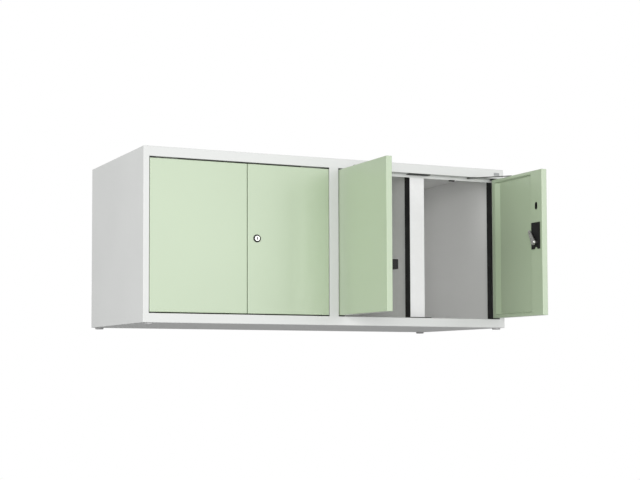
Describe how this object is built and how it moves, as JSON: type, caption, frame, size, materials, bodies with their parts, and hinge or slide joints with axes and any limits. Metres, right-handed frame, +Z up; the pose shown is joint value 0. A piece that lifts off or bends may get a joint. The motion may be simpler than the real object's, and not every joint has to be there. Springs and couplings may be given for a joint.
{
  "type": "sheet-steel locker top cupboard",
  "caption": "Sheet-steel top cupboard for a locker row: divided open compartments behind pairs of hinged doors with cam locks and stays.",
  "frame": {"origin": "centre of the flat underside panel, at the height of its lower face", "axes": "+X along the front to the viewer's right, +Y from the door side to the rear, +Z up"},
  "size_m": [1.2, 0.7895, 0.505],
  "materials": {
    "light_grey_paint": "semi-gloss powder coat",
    "pale_green_paint": "semi-gloss powder coat",
    "black_plastic": "matt moulded",
    "grey_plastic": "matt moulded",
    "zinc": "bright zinc plated",
    "plain_plate": "satin"
  },
  "bodies": {
    "carcass": {"base_panel": "light_grey_paint", "blank_plate": "plain_plate", "bottom_rail": "light_grey_paint", "centre_stile": "light_grey_paint", "centre_wall": "light_grey_paint", "door_1_bottom_hinge_block": "black_plastic", "door_1_top_hinge_block": "black_plastic", "door_2_bottom_hinge_block": "black_plastic", "door_2_top_hinge_block": "black_plastic", "door_3_bottom_hinge_block": "black_plastic", "door_3_top_hinge_block": "black_plastic", "door_4_bottom_hinge_block": "black_plastic", "door_4_top_hinge_block": "black_plastic", "edge_strip_1": "black_plastic", "edge_strip_2": "black_plastic", "edge_strip_3": "black_plastic", "edge_strip_4": "black_plastic", "floor_panel": "light_grey_paint", "front_left_foot": "grey_plastic", "front_right_foot": "grey_plastic", "left_bottom_buffer": "black_plastic", "left_partition": "light_grey_paint", "left_post": "light_grey_paint", "left_side_panel": "light_grey_paint", "left_stile": "light_grey_paint", "left_top_buffer": "black_plastic", "rear_base_rail": "light_grey_paint", "rear_left_foot": "grey_plastic", "rear_panel": "light_grey_paint", "rear_right_foot": "grey_plastic", "right_bottom_buffer": "black_plastic", "right_partition": "light_grey_paint", "right_post": "light_grey_paint", "right_side_panel": "light_grey_paint", "right_stile": "light_grey_paint", "right_top_buffer": "black_plastic", "top_panel": "light_grey_paint", "top_rail": "light_grey_paint"},
    "door_1": {"door_1_catch_block": "black_plastic", "door_1_inner_panel": "pale_green_paint", "door_1_outer_pan": "pale_green_paint"},
    "door_2": {"door_2_inner_panel": "pale_green_paint", "door_2_lock_case": "black_plastic", "door_2_lock_sleeve": "black_plastic", "door_2_outer_pan": "pale_green_paint"},
    "door_3": {"door_3_catch_block": "black_plastic", "door_3_inner_panel": "pale_green_paint", "door_3_outer_pan": "pale_green_paint"},
    "door_4": {"door_4_inner_panel": "pale_green_paint", "door_4_lock_case": "black_plastic", "door_4_lock_sleeve": "black_plastic", "door_4_outer_pan": "pale_green_paint"},
    "stay_1": {"door_1_stay": "black_plastic"},
    "stay_2": {"door_2_stay": "black_plastic"},
    "stay_3": {"door_3_stay": "black_plastic"},
    "stay_4": {"door_4_stay": "black_plastic"},
    "lock_2": {"door_2_lock_barrel": "zinc", "door_2_lock_cam": "zinc"},
    "lock_4": {"door_4_lock_barrel": "zinc", "door_4_lock_cam": "zinc"}
  },
  "joints": [
    {"name": "door_1_hinge", "type": "hinge", "parent": "carcass", "child": "door_1", "pos_m": [-0.5765, -0.2455, 0.248], "axis": [0, 0, -1], "range_deg": [0, 90]},
    {"name": "door_2_hinge", "type": "hinge", "parent": "carcass", "child": "door_2", "pos_m": [-0.0215, -0.2455, 0.248], "axis": [0, 0, 1], "range_deg": [0, 90]},
    {"name": "door_3_hinge", "type": "hinge", "parent": "carcass", "child": "door_3", "pos_m": [0.0215, -0.2455, 0.248], "axis": [0, 0, 1], "range_deg": [0, 90]},
    {"name": "door_4_hinge", "type": "hinge", "parent": "carcass", "child": "door_4", "pos_m": [0.5765, -0.2455, 0.248], "axis": [0, 0, -1], "range_deg": [0, 90]},
    {"name": "stay_1_pivot", "type": "hinge", "parent": "door_1", "child": "stay_1", "pos_m": [-0.4885, -0.241, 0.4686], "axis": [0, 0, 1], "range_deg": [0, 134.5]},
    {"name": "stay_2_pivot", "type": "hinge", "parent": "door_2", "child": "stay_2", "pos_m": [-0.1095, -0.241, 0.4686], "axis": [0, 0, -1], "range_deg": [0, 134.5]},
    {"name": "stay_3_pivot", "type": "hinge", "parent": "door_3", "child": "stay_3", "pos_m": [0.026, -0.3335, 0.4686], "axis": [0, 0, -1], "range_deg": [0, 134.5]},
    {"name": "stay_4_pivot", "type": "hinge", "parent": "door_4", "child": "stay_4", "pos_m": [0.572, -0.3335, 0.4686], "axis": [0, 0, 1], "range_deg": [0, 134.5]},
    {"name": "lock_2_turn", "type": "hinge", "parent": "door_2", "child": "lock_2", "pos_m": [-0.2512, -0.25, 0.2495], "axis": [0, -1, 0], "range_deg": [0, 120.5]},
    {"name": "lock_4_turn", "type": "hinge", "parent": "door_4", "child": "lock_4", "pos_m": [0.5765, -0.4752, 0.2495], "axis": [1, 0, 0], "range_deg": [0, 120.5]}
  ],
  "couplings": [
    {"joint": "stay_1_pivot", "follows": "door_1_hinge", "ratio": 1.4928},
    {"joint": "stay_2_pivot", "follows": "door_2_hinge", "ratio": 1.4928},
    {"joint": "stay_3_pivot", "follows": "door_3_hinge", "ratio": 1.4928},
    {"joint": "stay_4_pivot", "follows": "door_4_hinge", "ratio": 1.4928}
  ]
}
